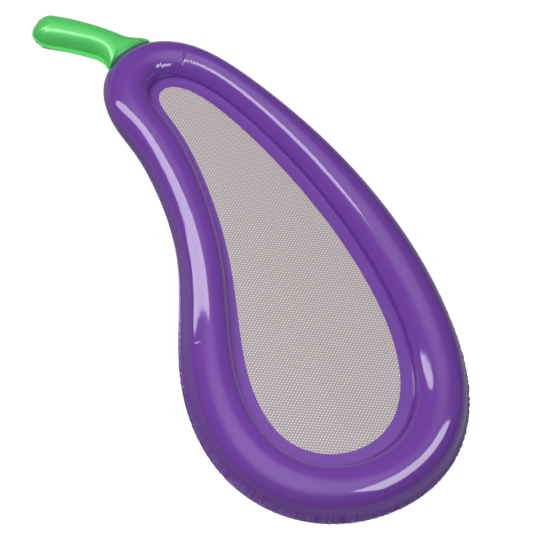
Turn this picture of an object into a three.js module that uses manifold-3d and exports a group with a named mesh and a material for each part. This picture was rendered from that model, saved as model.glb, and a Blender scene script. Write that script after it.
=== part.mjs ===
// Inflatable pool mattress with the outline of an aubergine. A ring-shaped air tube lies round a net
// panel, and a short stalk-like air cushion leaves the narrow end. Millimetres, Z up, Y along the length
// towards the stalk, X across it.

import * as THREE from 'three';
import { mergeVertices } from 'three/addons/utils/BufferGeometryUtils.js';
import Module from 'manifold-3d';

// Plan: the opening inside the flat band
const opening_length = 1295;
const opening_width = 469;

// Air tube: half its height at each end of the opening, and the depth of the flat that it stands on
const wide_end_half_height = 73;
const narrow_end_half_height = 60;
const floor_flat_depth = 0.5;

// Flat band and welded seams
const band_width = 36;
const seam_width = 12.5;
const film_thickness = 0.4;
const weld_gap = 0.3;

// Net panel
const net_thickness = 0.8;
const net_pitch_across = 90;
const net_pitch_along = 58;
const net_strand = 9;

// Stalk, with the angle that its film climbs on the ring's wall and how far it keeps off that wall
const stalk_length = 289;
const stalk_radius = 50;
const stalk_seam_width = 17;
const stalk_root_heading = 141;
const stalk_turn = 21;
const root_climb_angle = 24;
const root_clearance = 1.5;

// Inflation valves
const valve_disc_radius = 13;
const valve_disc_thickness = 1.2;
const valve_bore_radius = 4;
const valve_wall = 2;
const valve_skirt_length = 6;
const flap_thickness = 0.8;
const plug_cap_thickness = 2;
const plug_clearance = 0.3;
const plug_travel = 7.5;
const strap_thickness = 1.2;
const strap_width = 5;

// Outline of the opening: control points of a closed smooth curve, as shares of its width and length,
// with the air tube's share of its usual radius, and the band's and the seam's shares of their widths
const outline_shares = [
  { x: -0.22, y: 0.510, tube: 1.12, band: 1.10, seam: 0.3 },
  { x: 0.01, y: 0.460, tube: 0.86, band: 1.10, seam: 0.4 },
  { x: 0.30, y: 0.230, tube: 1.08, band: 1.15, seam: 0.8 },
  { x: 0.49, y: -0.030, tube: 1.18, band: 1.00, seam: 0.9 },
  { x: 0.52, y: -0.280, tube: 1.09, band: 0.95, seam: 0.9 },
  { x: 0.34, y: -0.450, tube: 1.13, band: 1.00, seam: 1.0 },
  { x: -0.04, y: -0.520, tube: 0.95, band: 0.95, seam: 1.1 },
  { x: -0.49, y: -0.465, tube: 1.10, band: 1.15, seam: 1.15 },
  { x: -0.54, y: -0.265, tube: 1.04, band: 0.90, seam: 1.3 },
  { x: -0.26, y: 0.010, tube: 0.87, band: 0.55, seam: 0.35 },
  { x: -0.22, y: 0.350, tube: 1.14, band: 0.55, seam: 0.12 },
  { x: -0.36, y: 0.460, tube: 1.13, band: 0.75, seam: 0.12 },
];

// Under the band, the sheets' inner seam and the net's edge each take a share of its width
const inner_seam_share = 0.35;
const net_cover_share = 0.45;

// Stalk outline: each point is [along, across, seam width, straddle], as shares of the stalk's length,
// radius and seam width, and of the straddling of the ring's own seam. The two points of a rib climb to
// one point of the ridge, the root and the right corner to its start, and the tip to its end. A rib's top
// is its share of the radius.
const rib_shares = [
  { ridge: 0.10, top: 0.80, left: [0.10, -1.68, 0.15, 1], right: [0.06, 1.03, 0.6, 0.5] },
  { ridge: 0.17, top: 0.89, left: [0.165, -1.25, 0.6, 1], right: [0.15, 0.99, 0.45, 0] },
  { ridge: 0.25, top: 0.96, left: [0.25, -1.03, 0.95, 0], right: [0.25, 0.99, 0.4, 0] },
  { ridge: 0.36, top: 0.99, left: [0.36, -0.98, 1, 0], right: [0.36, 1.01, 0.4, 0] },
  { ridge: 0.50, top: 1.0, left: [0.50, -0.99, 1, 0], right: [0.50, 1.04, 0.4, 0] },
  { ridge: 0.66, top: 1.0, left: [0.66, -1.02, 0.85, 0], right: [0.66, 1.08, 0.4, 0] },
  { ridge: 0.80, top: 1.0, left: [0.80, -1.03, 0.7, 0], right: [0.80, 1.07, 0.4, 0] },
];
const tip_shares = [
  [0.90, -0.99, 0.6, 0], [0.942, -0.82, 0.35, 0], [0.993, -0.54, 0.3, 0], [1.0, -0.20, 0.3, 0],
  [0.985, 0.18, 0.3, 0], [0.955, 0.56, 0.3, 0], [0.93, 0.84, 0.35, 0], [0.87, 1.05, 0.4, 0],
];
const right_corner_shares = [[-0.04, 1.20, 0.8, 1], [-0.13, 1.42, 0.8, 1]];
// Where the stalk's root lies round the ring, and how far down the climb its film's weld reaches
const root_share = { left: 0.957, centre: 0.979, right: 1.0 };
const root_weld_share = 0.5;

// Where the ring's valve sits round the ring
const ring_valve_share = 0.30;

// Fineness of the faceted surfaces
const ring_steps = 56;
const top_tube_steps = 8;
const side_tube_steps = 3;
const stalk_steps = 4;
const root_splits = 2;
const round_steps = 24;

const wasm = await Module();
wasm.setup();

const film = film_thickness;
const sheet_low = weld_gap / 2;
const sheet_high = sheet_low + film;
const band_low = sheet_high + weld_gap;

// Materials
const plastic = (color) => new THREE.MeshStandardMaterial({ color, roughness: 0.22, metalness: 0 });
const purple_film = plastic(0x7247a4);
const green_film = plastic(0x5fce69);
const grey_net = new THREE.MeshStandardMaterial({ color: 0xb9afb0, roughness: 0.75, metalness: 0 });
const clear_vinyl = plastic(0xdcdce2);

// Smooth closed curve: the blend of four neighbouring control points, and its derivative
function blendOutline(turn) {
  const count = outline_shares.length;
  const place = (((turn % 1) + 1) % 1) * count;
  const index = Math.floor(place);
  const u = place - index;
  const weights = [(1 - u) ** 3, 3 * u ** 3 - 6 * u ** 2 + 4, -3 * u ** 3 + 3 * u ** 2 + 3 * u + 1, u ** 3];
  const slopes = [-3 * (1 - u) ** 2, 9 * u ** 2 - 12 * u, -9 * u ** 2 + 6 * u + 3, 3 * u ** 2];
  const value = { x: 0, y: 0, tube: 0, band: 0, seam: 0 };
  const slope = { x: 0, y: 0 };
  for (let k = 0; k < weights.length; k++) {
    const row = outline_shares[(index + k - 1 + count) % count];
    for (const key in value) value[key] += row[key] * weights[k] / 6;
    for (const key in slope) slope[key] += row[key] * slopes[k] / 6;
  }
  return { value, slope };
}

// Height of the seams above the floor: one sloping plane, half as high as the tube everywhere
function seamHeight(y) {
  const share = y / opening_length + 0.5;
  return wide_end_half_height + (narrow_end_half_height - wide_end_half_height) * share;
}

// One station of the ring: its point on the opening, the outward direction, and the sizes there
function ringStation(turn) {
  const { value, slope } = blendOutline(turn);
  const point = new THREE.Vector2(value.x * opening_width, value.y * opening_length);
  const along = new THREE.Vector2(slope.x * opening_width, slope.y * opening_length).normalize();
  return {
    point,
    outward: new THREE.Vector2(-along.y, along.x),
    radius: value.tube * seamHeight(point.y),
    band: value.band * band_width,
    seam: value.seam * seam_width,
  };
}

// Plan place that lies a distance outside the opening at one station
function outside(station, distance) {
  return station.point.clone().addScaledVector(station.outward, distance);
}

// Arc of the tube's half section: angles from the inner foot over to the outer foot
function evenArc(steps) {
  return Array.from({ length: steps + 1 }, (_, k) => ({ angle: Math.PI * k / steps, stretch: 1 }));
}

// The same arc with a flat in its middle, deep enough to stand on
function flatArc(steps) {
  const flat_angle = Math.acos(1 - floor_flat_depth / wide_end_half_height);
  const side = Array.from({ length: steps + 1 }, (_, k) => (Math.PI / 2 - flat_angle) * k / steps);
  const angles = [...side, ...side.map((angle) => Math.PI - angle).reverse()];
  return angles.map((angle) => ({ angle, stretch: 1 / Math.cos(flat_angle) }));
}

// Closed section of one welded sheet: outer skin from the inner to the outer seam, then back inside.
// Each point has its distance outside the opening, its level off the seam plane and its share of the rise.
function sheetSection(station, arc) {
  const { radius, band, seam } = station;
  const centre = band + radius;
  const inner_edge = band * (1 - inner_seam_share);
  const outer_edge = centre + radius + seam;
  const skin = (level, reach) => [
    { distance: inner_edge, level, rise: 0 },
    ...arc.map(({ angle, stretch }) => ({
      distance: centre - reach * Math.cos(angle),
      level,
      rise: Math.sin(angle) * stretch,
    })),
    { distance: outer_edge, level, rise: 0 },
  ];
  return [...skin(sheet_high, radius), ...skin(sheet_low, radius - film).reverse()];
}

// Place in space of a section point; side is 1 above the seam plane and -1 below it
function sectionPlace(station, { distance, level, rise }, side) {
  const plan = outside(station, distance);
  const height = seamHeight(plan.y);
  return new THREE.Vector3(plan.x, plan.y, height + side * (level + (height - sheet_high) * rise));
}

// Closed solid from rows of points, where the last row joins the first. Each row closes on itself too,
// but for the one step that a ridge, shared by all rows, leaves out.
function loopSolid(rows, reversed, ridge_step = -1) {
  const across = rows[0].length;
  const index = [];
  rows.forEach((row, i) => {
    const next = (i + 1) % rows.length;
    for (let k = 0; k < across; k++) {
      if (k === ridge_step) continue;
      const l = (k + 1) % across;
      const [a, b, c, d] = [i * across + k, next * across + k, next * across + l, i * across + l];
      index.push(...(reversed ? [a, c, b, a, d, c] : [a, b, c, a, c, d]));
    }
  });
  const points = rows.flat().flatMap((point) => [point.x, point.y, point.z]);
  return closedGeometry(points, index);
}

// Shared corners become one point, and triangles that shrink to a line there are left out
function closedGeometry(points, index) {
  const loose = new THREE.BufferGeometry();
  loose.setAttribute('position', new THREE.Float32BufferAttribute(points, 3));
  loose.setIndex(index);
  const merged = mergeVertices(loose);
  const kept = [];
  for (let i = 0; i < index.length; i += 3) {
    const corners = [0, 1, 2].map((k) => merged.index.getX(i + k));
    if (new Set(corners).size === corners.length) kept.push(...corners);
  }
  merged.setIndex(kept);
  merged.computeVertexNormals();
  return merged;
}

// Closed meshes become solids for cutting, and turn back into geometry afterwards
function toSolid(geometry) {
  const bare = geometry.clone();
  bare.deleteAttribute('normal');
  bare.deleteAttribute('uv');
  const merged = mergeVertices(bare);
  return new wasm.Manifold(new wasm.Mesh({
    numProp: 3,
    vertProperties: new Float32Array(merged.attributes.position.array),
    triVerts: new Uint32Array(merged.index.array),
  }));
}

function fromSolid(solid) {
  const mesh = solid.getMesh();
  return closedGeometry(Array.from(mesh.vertProperties), Array.from(mesh.triVerts));
}

// The two welded sheets of the ring
const ring_stations = Array.from({ length: ring_steps }, (_, i) => ringStation(i / ring_steps));
const bottom_arc = flatArc(side_tube_steps);

function ringSheet(arc, side) {
  const rows = ring_stations.map((station) =>
    sheetSection(station, arc).map((point) => sectionPlace(station, point, side)));
  return loopSolid(rows, side < 0);
}

// Flat band over or under the net's edge, from the opening to the tube's foot
function bandStrip(side) {
  const rows = ring_stations.map((station) => {
    const foot = station.band - weld_gap;
    return [[0, band_low], [foot, band_low], [foot, band_low + film], [0, band_low + film]].map(
      ([distance, level]) => sectionPlace(station, { distance, level, rise: 0 }, side));
  });
  return loopSolid(rows, side > 0);
}

// Net panel: a sheet whose edge runs under the band, with rows of rhombic gaps inside a plain margin
function netPanel() {
  const plate = (shapes) => toSolid(new THREE.ExtrudeGeometry(shapes, {
    depth: net_thickness, bevelEnabled: false,
  }));
  const outlineAt = (distance) => new THREE.Shape(ring_stations.map((station) =>
    outside(station, distance(station))));
  const panel = plate(outlineAt((station) => station.band * net_cover_share));
  const field = plate(outlineAt(() => -net_strand));

  const half_along = (net_pitch_along - net_strand) / 2;
  const half_across = half_along * net_pitch_across / net_pitch_along;
  const rows = Math.ceil(opening_length / net_pitch_along);
  const columns = Math.ceil(opening_width / net_pitch_across);
  const gaps = [];
  for (let j = -rows; j <= rows; j++) {
    for (let i = -columns; i <= columns; i++) {
      const x = (i + (Math.abs(j) % 2) / 2) * net_pitch_across;
      const y = j * net_pitch_along / 2;
      gaps.push(new THREE.Shape([[half_across, 0], [0, half_along], [-half_across, 0], [0, -half_along]]
        .map(([dx, dy]) => new THREE.Vector2(x + dx, y + dy))));
    }
  }
  const geometry = fromSolid(panel.subtract(plate(gaps).intersect(field)));
  const place = geometry.attributes.position;
  for (let i = 0; i < place.count; i++) {
    place.setZ(i, place.getZ(i) - net_thickness / 2 + seamHeight(place.getY(i)));
  }
  return geometry;
}

// Stalk: its middle line leaves the ring's seam and bends slightly
const ringEdge = (station) => outside(station, station.band + 2 * station.radius + station.seam);
const root_point = ringEdge(ringStation(root_share.centre));

function stalkFrame(along) {
  const start = THREE.MathUtils.degToRad(stalk_root_heading);
  const turn = THREE.MathUtils.degToRad(stalk_turn);
  const bend_radius = stalk_length / turn;
  const toRight = (heading) => new THREE.Vector2(Math.sin(heading), -Math.cos(heading));
  const right = toRight(start + turn * along);
  const point = root_point.clone().addScaledVector(toRight(start), -bend_radius)
    .addScaledVector(right, bend_radius);
  return { point, right };
}

// Place beside the ring's faceted outer wall: its plan, and its height above the seam plane
function besideWall(turn, angle) {
  const index = Math.floor(turn * ring_steps);
  const at = (i) => {
    const station = ring_stations[i % ring_steps];
    return outside(station, station.band + station.radius * (1 + Math.cos(angle)) + root_clearance);
  };
  const plan = at(index).lerp(at(index + 1), turn * ring_steps - index);
  return { plan, height: (seamHeight(plan.y) - sheet_high) * Math.sin(angle) };
}

// Root of the stalk's film: it climbs on the ring's wall from both corners to the middle, and its weld
// turns back down the wall. It has a point on every edge between the wall's facets.
function rootItems() {
  const { left, right } = root_share;
  const edges = ring_stations.map((_, i) => i / ring_steps).filter((turn) => turn > left && turn < right);
  const turns = [left, ...edges].flatMap((turn, i) => Array.from({ length: root_splits }, (_, k) =>
    THREE.MathUtils.lerp(turn, edges[i] ?? right, k / root_splits)));
  return [...turns, right].reverse().map((turn) => {
    const climb = THREE.MathUtils.degToRad(root_climb_angle) * Math.sin(Math.PI * (right - turn) / (right - left));
    const edge = besideWall(turn, climb);
    const weld = besideWall(turn, climb * (1 - root_weld_share));
    return {
      edge: edge.plan,
      ridge: stalkFrame(rib_shares[0].ridge).point,
      top: rib_shares[0].top * stalk_radius,
      height: edge.height,
      rooted: 1,
      weld: { plan: weld.plan.sub(edge.plan), drop: weld.height - edge.height },
    };
  });
}

// Outline of the stalk's seam: the root, the left side, the tip and the right side
function stalkOutline() {
  const item = ([along, across, seam, rooted], rib) => {
    const frame = stalkFrame(along);
    return {
      edge: frame.point.clone().addScaledVector(frame.right, across * stalk_radius),
      ridge: stalkFrame(rib.ridge).point,
      top: rib.top * stalk_radius,
      height: 0,
      rooted,
      seam: seam * stalk_seam_width,
    };
  };
  return [
    ...rootItems(),
    ...rib_shares.map((rib) => item(rib.left, rib)),
    ...tip_shares.map((point) => item(point, rib_shares.at(-1))),
    ...rib_shares.map((rib) => item(rib.right, rib)).reverse(),
    ...right_corner_shares.map((point) => item(point, rib_shares[0])),
  ];
}

const stalk_outline = stalkOutline();

// Outer end of the welded seam at one point of the outline
function stalkRim(i) {
  const count = stalk_outline.length;
  const along = stalk_outline[(i + 1) % count].edge.clone().sub(stalk_outline[(i - 1 + count) % count].edge);
  const outward = new THREE.Vector2(-along.y, along.x).normalize();
  return stalk_outline[i].edge.clone().addScaledVector(outward, stalk_outline[i].seam);
}

// Point on a stalk skin: the wall is how far it lies inside the outer skin
function stalkPlace(item, angle, wall, side) {
  const reach = item.edge.clone().sub(item.ridge);
  const plan = item.ridge.clone().addScaledVector(reach, (1 - wall / reach.length()) * Math.cos(angle));
  const foot = item.height + item.rooted * (band_low - sheet_low);
  const level = sheet_high - wall + THREE.MathUtils.lerp(foot, item.top - film, Math.sin(angle));
  return new THREE.Vector3(plan.x, plan.y, seamHeight(plan.y) + side * level);
}

function stalkSheet(side) {
  const rows = stalk_outline.map((item, i) => {
    const arc = (wall) => Array.from({ length: stalk_steps + 1 }, (_, k) =>
      stalkPlace(item, Math.PI / 2 * k / stalk_steps, wall, side));
    const rimPlace = (wall) => {
      if (item.weld) {
        const { plan, drop } = item.weld;
        return arc(wall)[0].add(new THREE.Vector3(plan.x, plan.y, side * drop));
      }
      const rim = stalkRim(i);
      const level = sheet_high - wall + item.rooted * (band_low - sheet_low);
      return new THREE.Vector3(rim.x, rim.y, seamHeight(rim.y) + side * level);
    };
    return [rimPlace(0), ...arc(0), ...arc(film).reverse(), rimPlace(film)];
  });
  return loopSolid(rows, side > 0, stalk_steps + 1);
}

// Valve seat: a frame on one facet of a sheet, Z out of it and X level, clear of the facet's corners
function valveSeat(corners) {
  const centre = corners.reduce((sum, corner) => sum.add(corner), new THREE.Vector3())
    .divideScalar(corners.length);
  const out = corners[2].clone().sub(corners[0]).cross(corners[3].clone().sub(corners[1])).normalize();
  const level = new THREE.Vector3(0, 0, 1).cross(out).normalize();
  const lift = Math.max(...corners.map((corner) => Math.abs(corner.clone().sub(centre).dot(out))));
  const basis = new THREE.Matrix4().makeBasis(level, out.clone().cross(level), out);
  return basis.setPosition(centre.addScaledVector(out, lift));
}

const valve_neck_radius = valve_bore_radius + valve_wall;
const valve_neck_top = weld_gap + valve_disc_thickness + plug_travel + strap_thickness + weld_gap;
const valve_skirt_end = -film - valve_skirt_length;

function turned(profile) {
  const points = profile.map(([radius, height]) => new THREE.Vector2(radius, height));
  return new THREE.LatheGeometry(points, round_steps).rotateX(Math.PI / 2);
}

function cutHole(sheet, seat) {
  const radius = valve_neck_radius + weld_gap;
  const drill = new THREE.CylinderGeometry(radius, radius, 2 * valve_skirt_length, round_steps)
    .rotateX(Math.PI / 2).applyMatrix4(seat);
  return fromSolid(toSolid(sheet).subtract(toSolid(drill)));
}

// Valve body: a disc welded on the film, a neck outside it and a skirt inside the air tube
function valveBody() {
  const disc_top = weld_gap + valve_disc_thickness;
  return turned([
    [valve_bore_radius, valve_skirt_end], [valve_neck_radius, valve_skirt_end],
    [valve_neck_radius, weld_gap], [valve_disc_radius, weld_gap], [valve_disc_radius, disc_top],
    [valve_neck_radius, disc_top], [valve_neck_radius, valve_neck_top],
    [valve_bore_radius, valve_neck_top], [valve_bore_radius, valve_skirt_end],
  ]);
}

// Check flap: a tongue that covers the skirt's end and hangs on its edge, where it hinges
function valveFlap() {
  const shape = new THREE.Shape();
  const tongue_radius = valve_bore_radius + valve_wall / 2;
  const spread = Math.PI / 4;
  shape.moveTo(valve_neck_radius, -tongue_radius * Math.sin(spread));
  shape.lineTo(valve_neck_radius, tongue_radius * Math.sin(spread));
  shape.absarc(0, 0, tongue_radius, spread, 2 * Math.PI - spread, false);
  return new THREE.ExtrudeGeometry(shape, {
    depth: flap_thickness, bevelEnabled: false, curveSegments: round_steps / 2,
  }).translate(0, 0, valve_skirt_end - weld_gap - flap_thickness);
}

// Plug with its pull strap: stopper and cap, and a strap down to a loose ring round the neck
function valvePlug() {
  const seat = valve_neck_top + weld_gap;
  const stopper_radius = valve_bore_radius - plug_clearance;
  const cap_radius = valve_neck_radius + strap_thickness;
  const cap = turned([
    [0, seat + plug_clearance - plug_travel], [stopper_radius, seat + plug_clearance - plug_travel],
    [stopper_radius, seat], [cap_radius, seat], [cap_radius, seat + plug_cap_thickness],
    [0, seat + plug_cap_thickness],
  ]);
  const ring_low = 2 * weld_gap + valve_disc_thickness;
  const [ring_inner, ring_outer] = [valve_neck_radius + plug_clearance, valve_neck_radius + 2 * valve_wall];
  const ring = turned([
    [ring_inner, ring_low], [ring_outer, ring_low], [ring_outer, ring_low + strap_thickness],
    [ring_inner, ring_low + strap_thickness], [ring_inner, ring_low],
  ]);
  const root = cap_radius - strap_thickness / 2;
  const bow = valve_disc_radius - strap_thickness / 2;
  const [low, high] = [ring_low, seat + plug_cap_thickness];
  const strap = new THREE.ExtrudeGeometry(new THREE.Shape([
    [root, low], [bow, low], [bow, high], [root, high], [root, high - strap_thickness],
    [bow - strap_thickness, high - strap_thickness], [bow - strap_thickness, low + strap_thickness],
    [root, low + strap_thickness],
  ].map(([x, z]) => new THREE.Vector2(x, z))), { depth: strap_width, bevelEnabled: false })
    .translate(0, 0, -strap_width / 2).rotateX(Math.PI / 2);
  return fromSolid(toSolid(cap).add(toSolid(ring)).add(toSolid(strap)));
}

// Facets that carry the valves: the ring's just under its outer seam, the stalk's on its right side
function ringFacet() {
  const i = Math.round(ring_valve_share * ring_steps);
  const outer_foot = bottom_arc.length;
  const corner = (station, k) => sectionPlace(station, sheetSection(station, bottom_arc)[k], -1);
  const [here, next] = [ring_stations[i], ring_stations[i + 1]];
  return [corner(here, outer_foot), corner(next, outer_foot),
    corner(next, outer_foot - 1), corner(here, outer_foot - 1)];
}

function stalkFacet() {
  const i = stalk_outline.length - right_corner_shares.length - rib_shares.length + 1;
  const corner = (item, k) => stalkPlace(item, Math.PI / 2 * k / stalk_steps, 0, -1);
  const [here, next] = [stalk_outline[i], stalk_outline[i + 1]];
  return [corner(here, 1), corner(next, 1), corner(next, 2), corner(here, 2)];
}

// Assembly
const ring_seat = valveSeat(ringFacet());
const stalk_seat = valveSeat(stalkFacet());
const mattress = new THREE.Group();

function addPart(parent, name, geometry, material) {
  const mesh = new THREE.Mesh(geometry, material);
  mesh.name = name;
  parent.add(mesh);
}

addPart(mattress, 'ring_top_sheet', ringSheet(evenArc(top_tube_steps), 1), purple_film);
addPart(mattress, 'ring_bottom_sheet', cutHole(ringSheet(bottom_arc, -1), ring_seat), purple_film);
addPart(mattress, 'band_top_strip', bandStrip(1), purple_film);
addPart(mattress, 'band_bottom_strip', bandStrip(-1), purple_film);
addPart(mattress, 'net_panel', netPanel(), grey_net);
addPart(mattress, 'stalk_top_sheet', stalkSheet(1), green_film);
addPart(mattress, 'stalk_bottom_sheet', cutHole(stalkSheet(-1), stalk_seat), green_film);

for (const [place, seat] of [['ring', ring_seat], ['stalk', stalk_seat]]) {
  const valve = new THREE.Group();
  valve.applyMatrix4(seat);
  addPart(valve, `${place}_valve_body`, valveBody(), clear_vinyl);
  addPart(valve, `${place}_valve_flap`, valveFlap(), clear_vinyl);
  addPart(valve, `${place}_valve_plug`, valvePlug(), clear_vinyl);
  mattress.add(valve);
}

// The origin is on the floor, under the middle of the whole
mattress.updateMatrixWorld(true);
const middle = new THREE.Box3().setFromObject(mattress, true).getCenter(new THREE.Vector3());
mattress.position.set(-middle.x, -middle.y, 0);

export default mattress;
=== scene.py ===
# Aubergine-shaped pool mattress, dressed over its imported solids. Metres, Z up, Y along the length.
# It is laid out as an add-on and run as a script.

import math

import bpy
import numpy as np
from mathutils import Matrix, Vector


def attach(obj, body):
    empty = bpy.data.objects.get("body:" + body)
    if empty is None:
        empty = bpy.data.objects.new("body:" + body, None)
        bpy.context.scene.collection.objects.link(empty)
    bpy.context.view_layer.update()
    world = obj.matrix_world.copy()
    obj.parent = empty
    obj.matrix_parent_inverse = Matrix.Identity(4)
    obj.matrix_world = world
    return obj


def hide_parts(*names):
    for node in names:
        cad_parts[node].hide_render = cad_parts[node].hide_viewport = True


bl_info = {
    "name": "Pool Float",
    "version": (1, 0, 0),
    "blender": (4, 5, 0),
    "location": "3D View > Sidebar > Pool Float",
    "description": "Film, net, stalk and valves of a pool float shaped like an aubergine",
    "category": "Add Mesh",
}

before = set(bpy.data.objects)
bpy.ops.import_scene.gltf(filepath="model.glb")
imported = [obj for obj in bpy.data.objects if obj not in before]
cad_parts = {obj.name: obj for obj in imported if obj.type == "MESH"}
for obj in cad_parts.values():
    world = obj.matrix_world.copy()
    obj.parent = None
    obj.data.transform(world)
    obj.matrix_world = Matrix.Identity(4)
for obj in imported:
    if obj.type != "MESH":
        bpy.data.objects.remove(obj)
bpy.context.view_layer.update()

MILLIMETRE = 0.001

# Outline of the opening: control points of a closed smooth curve, as shares of its width and length,
# with the air tube's share of its usual radius, and the band's and the seam's shares of their widths
OUTLINE_SHARES = np.array([
    (-0.22, 0.510, 1.12, 1.10, 0.3),
    (0.01, 0.460, 0.86, 1.10, 0.4),
    (0.30, 0.230, 1.08, 1.15, 0.8),
    (0.49, -0.030, 1.18, 1.00, 0.9),
    (0.52, -0.280, 1.09, 0.95, 0.9),
    (0.34, -0.450, 1.13, 1.00, 1.0),
    (-0.04, -0.520, 0.95, 0.95, 1.1),
    (-0.49, -0.465, 1.10, 1.15, 1.15),
    (-0.54, -0.265, 1.04, 0.90, 1.3),
    (-0.26, 0.010, 0.87, 0.55, 0.35),
    (-0.22, 0.350, 1.14, 0.55, 0.12),
    (-0.36, 0.460, 1.13, 0.75, 0.12),
])

# How far the ring's inner seam and the net reach across the band, as shares of its width
INNER_SEAM_SHARE = 0.35
NET_REACH_SHARE = 0.65

# Line that the welding tool presses into the band: place and spread as shares of its width, and depth
PRESS_LINE_SHARE = 0.38
PRESS_LINE_SPREAD = 0.03
PRESS_LINE_DEPTH = 0.0002

# Stalk outline: each point is (along, across, seam width, straddle), as shares of the stalk's length, radius
# and seam width, and of the straddling of the ring's own seam. A rib is (along, top, left point, right
# point): its two points climb to one point of the ridge, that far along and that share of the radius high.
# The root and the right corner climb to the ridge's start, and the tip to its end.
RIB_SHARES = [
    (0.10, 0.80, (0.10, -1.68, 0.15, 1.0), (0.06, 1.03, 0.6, 0.5)),
    (0.17, 0.89, (0.165, -1.25, 0.6, 1.0), (0.15, 0.99, 0.45, 0.0)),
    (0.25, 0.96, (0.25, -1.03, 0.95, 0.0), (0.25, 0.99, 0.4, 0.0)),
    (0.36, 0.99, (0.36, -0.98, 1.0, 0.0), (0.36, 1.01, 0.4, 0.0)),
    (0.50, 1.0, (0.50, -0.99, 1.0, 0.0), (0.50, 1.04, 0.4, 0.0)),
    (0.66, 1.0, (0.66, -1.02, 0.85, 0.0), (0.66, 1.08, 0.4, 0.0)),
    (0.80, 1.0, (0.80, -1.03, 0.7, 0.0), (0.80, 1.07, 0.4, 0.0)),
]
TIP_SHARES = [
    (0.90, -0.99, 0.6, 0.0), (0.942, -0.82, 0.35, 0.0), (0.993, -0.54, 0.3, 0.0), (1.0, -0.20, 0.3, 0.0),
    (0.985, 0.18, 0.3, 0.0), (0.955, 0.56, 0.3, 0.0), (0.93, 0.84, 0.35, 0.0), (0.87, 1.05, 0.4, 0.0),
]
RIGHT_CORNER_SHARES = [(-0.04, 1.20, 0.8, 1.0), (-0.13, 1.42, 0.8, 1.0)]

# The root's places round the ring, and how far down its climb the weld reaches
ROOT_SHARES = {"left": 0.957, "centre": 0.979, "right": 1.0}
ROOT_WELD_SHARE = 0.5

STALK_PUCKERS = 34


def linear(hex_colour):
    """Linear red, green and blue of an sRGB hex colour."""
    channels = [int(hex_colour[i:i + 2], 16) / 255 for i in (0, 2, 4)]
    return tuple(c / 12.92 if c <= 0.04045 else ((c + 0.055) / 1.055) ** 2.4 for c in channels)


def length(label, text, millimetres):
    return bpy.props.FloatProperty(
        name=label, description=text, default=millimetres * MILLIMETRE, min=0.0, unit="LENGTH", precision=4)


def colour(label, text, hex_colour):
    return bpy.props.FloatVectorProperty(
        name=label, description=text, default=linear(hex_colour), size=3, min=0.0, max=1.0, subtype="COLOR")


class RingSettings(bpy.types.PropertyGroup):
    opening_length: length("Opening length", "Length of the opening inside the band", 1295)
    opening_width: length("Opening width", "Width of the opening inside the band", 469)
    opening_middle: bpy.props.FloatVectorProperty(
        name="Opening middle", description="Where the middle of the opening lies", size=3,
        default=(0.005889, -0.065619, 0.0), subtype="TRANSLATION", unit="LENGTH")
    wide_end_half_height: length("Wide end half height", "Half the tube's height at the wide end", 73)
    narrow_end_half_height: length("Narrow end half height", "Half the tube's height at the neck", 60)
    floor_flat_depth: length("Floor flat depth", "How far the tube's underside is pressed flat", 0.5)
    film_thickness: length("Film thickness", "Thickness of the vinyl film", 0.4)
    weld_gap: length("Weld gap", "Gap that the solids keep at a weld", 0.3)
    band_width: length("Band width", "Width of the flat band round the opening", 36)
    seam_width: length("Seam width", "Width of the welded seam outside the tube", 12.5)
    pucker_pitch: length("Pucker pitch", "Distance from one pucker of the outer seam to the next", 22)
    pucker_depth: length("Pucker depth", "How deep the puckers draw the film in", 2.2)
    pucker_reach: length("Pucker reach", "How far up the tube the puckers reach", 9)
    seam_wave: length("Seam wave", "Height of the waves in the outer seam", 1.6)
    wave_reach: length("Wave reach", "How far up the tube those waves reach", 12)
    fold_reach: length("Fold reach", "How far up the tube the seam's fine folds reach", 4)
    rim_swell: length("Rim swell", "Height of the swells between the puckers, across the outer seam", 2.6)
    rim_drop: length("Rim drop", "How far the outer seam's edge hangs down", 2)
    hollow_rise: length("Hollow rise", "Height over which the tube's film turns into the outer seam", 14)
    inner_ledge: length("Inner ledge", "Width of the bead of film between the band and the tube's wall", 10)
    bead_height: length("Bead height", "Height of that bead", 3)


class NetSettings(bpy.types.PropertyGroup):
    net_thickness: length("Net thickness", "Thickness of the knitted net", 0.8)
    cell_side: length("Cell side", "Side of one rhombic cell of the net", 9.03)
    thread_width: length("Thread width", "Width of the strands between the cells", 5.0)
    cell_angle: bpy.props.FloatProperty(
        name="Cell angle", description="Angle between the two runs of strands",
        default=math.radians(63.6), subtype="ANGLE")
    cell_turn: bpy.props.FloatProperty(
        name="Cell turn", description="Turn of the first run of strands from the float's width",
        default=math.radians(-20.3), subtype="ANGLE")


class StalkSettings(bpy.types.PropertyGroup):
    stalk_length: length("Stalk length", "Length of the stalk from the ring's edge", 289)
    stalk_radius: length("Stalk radius", "Half the stalk's thickness", 50)
    stalk_seam_width: length("Stalk seam width", "Width of the welded seam round the stalk", 17)
    stalk_pucker_depth: length("Stalk pucker depth", "How deep the puckers draw the stalk's film in", 1.2)
    stalk_seam_wave: length("Stalk seam wave", "Height of the waves in the stalk's seam", 0.8)
    root_heading: bpy.props.FloatProperty(
        name="Root heading", description="Direction in which the stalk leaves the ring",
        default=math.radians(141), subtype="ANGLE")
    turn: bpy.props.FloatProperty(
        name="Turn", description="How far the stalk turns on its way to the tip",
        default=math.radians(21), subtype="ANGLE")
    climb: bpy.props.FloatProperty(
        name="Climb", description="Angle that the root's film climbs on the ring's wall",
        default=math.radians(24), subtype="ANGLE")
    root_clearance: length("Root clearance", "How far the root's film keeps off the ring's wall", 0.4)


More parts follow.
